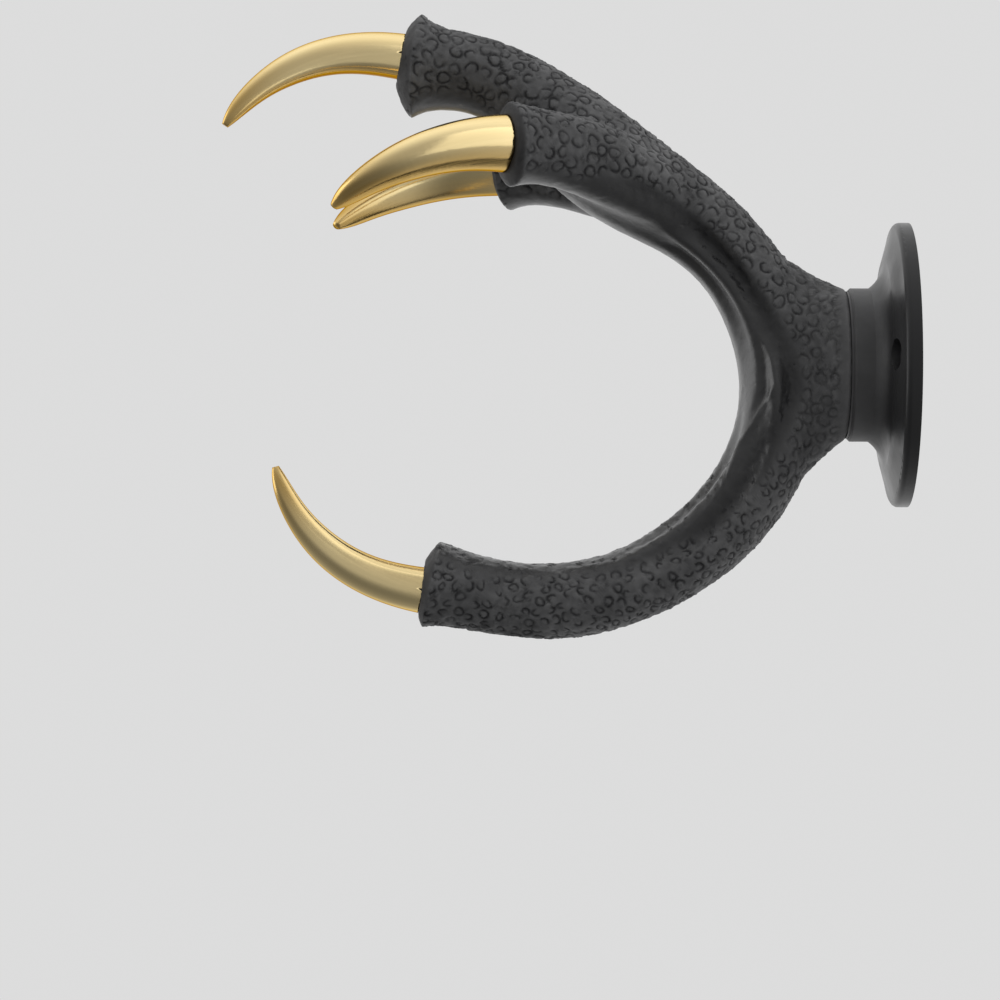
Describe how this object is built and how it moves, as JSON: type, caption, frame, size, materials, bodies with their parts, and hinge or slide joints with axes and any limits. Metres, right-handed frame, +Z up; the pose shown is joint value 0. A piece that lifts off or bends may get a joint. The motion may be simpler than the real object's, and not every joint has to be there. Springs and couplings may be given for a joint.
{
  "type": "hose hanger",
  "caption": "Claw-shaped wall hanger for a coiled hose: scaled black casting with spread toes and a thumb on a round flange, tipped with gold-coloured talons.",
  "frame": {"origin": "centre of the flange's back face, which lies against the wall", "axes": "+Z up, +Y into the wall, the hanger stands out along -Y, X across it"},
  "size_m": [0.1016, 0.2449, 0.2239],
  "materials": {
    "black_paint": "satin",
    "gold": "polished"
  },
  "bodies": {
    "root": {"claw_casting": "black_paint", "middle_talon": "gold", "right_talon": "gold", "left_talon": "gold", "thumb_talon": "gold"}
  },
  "joints": []
}
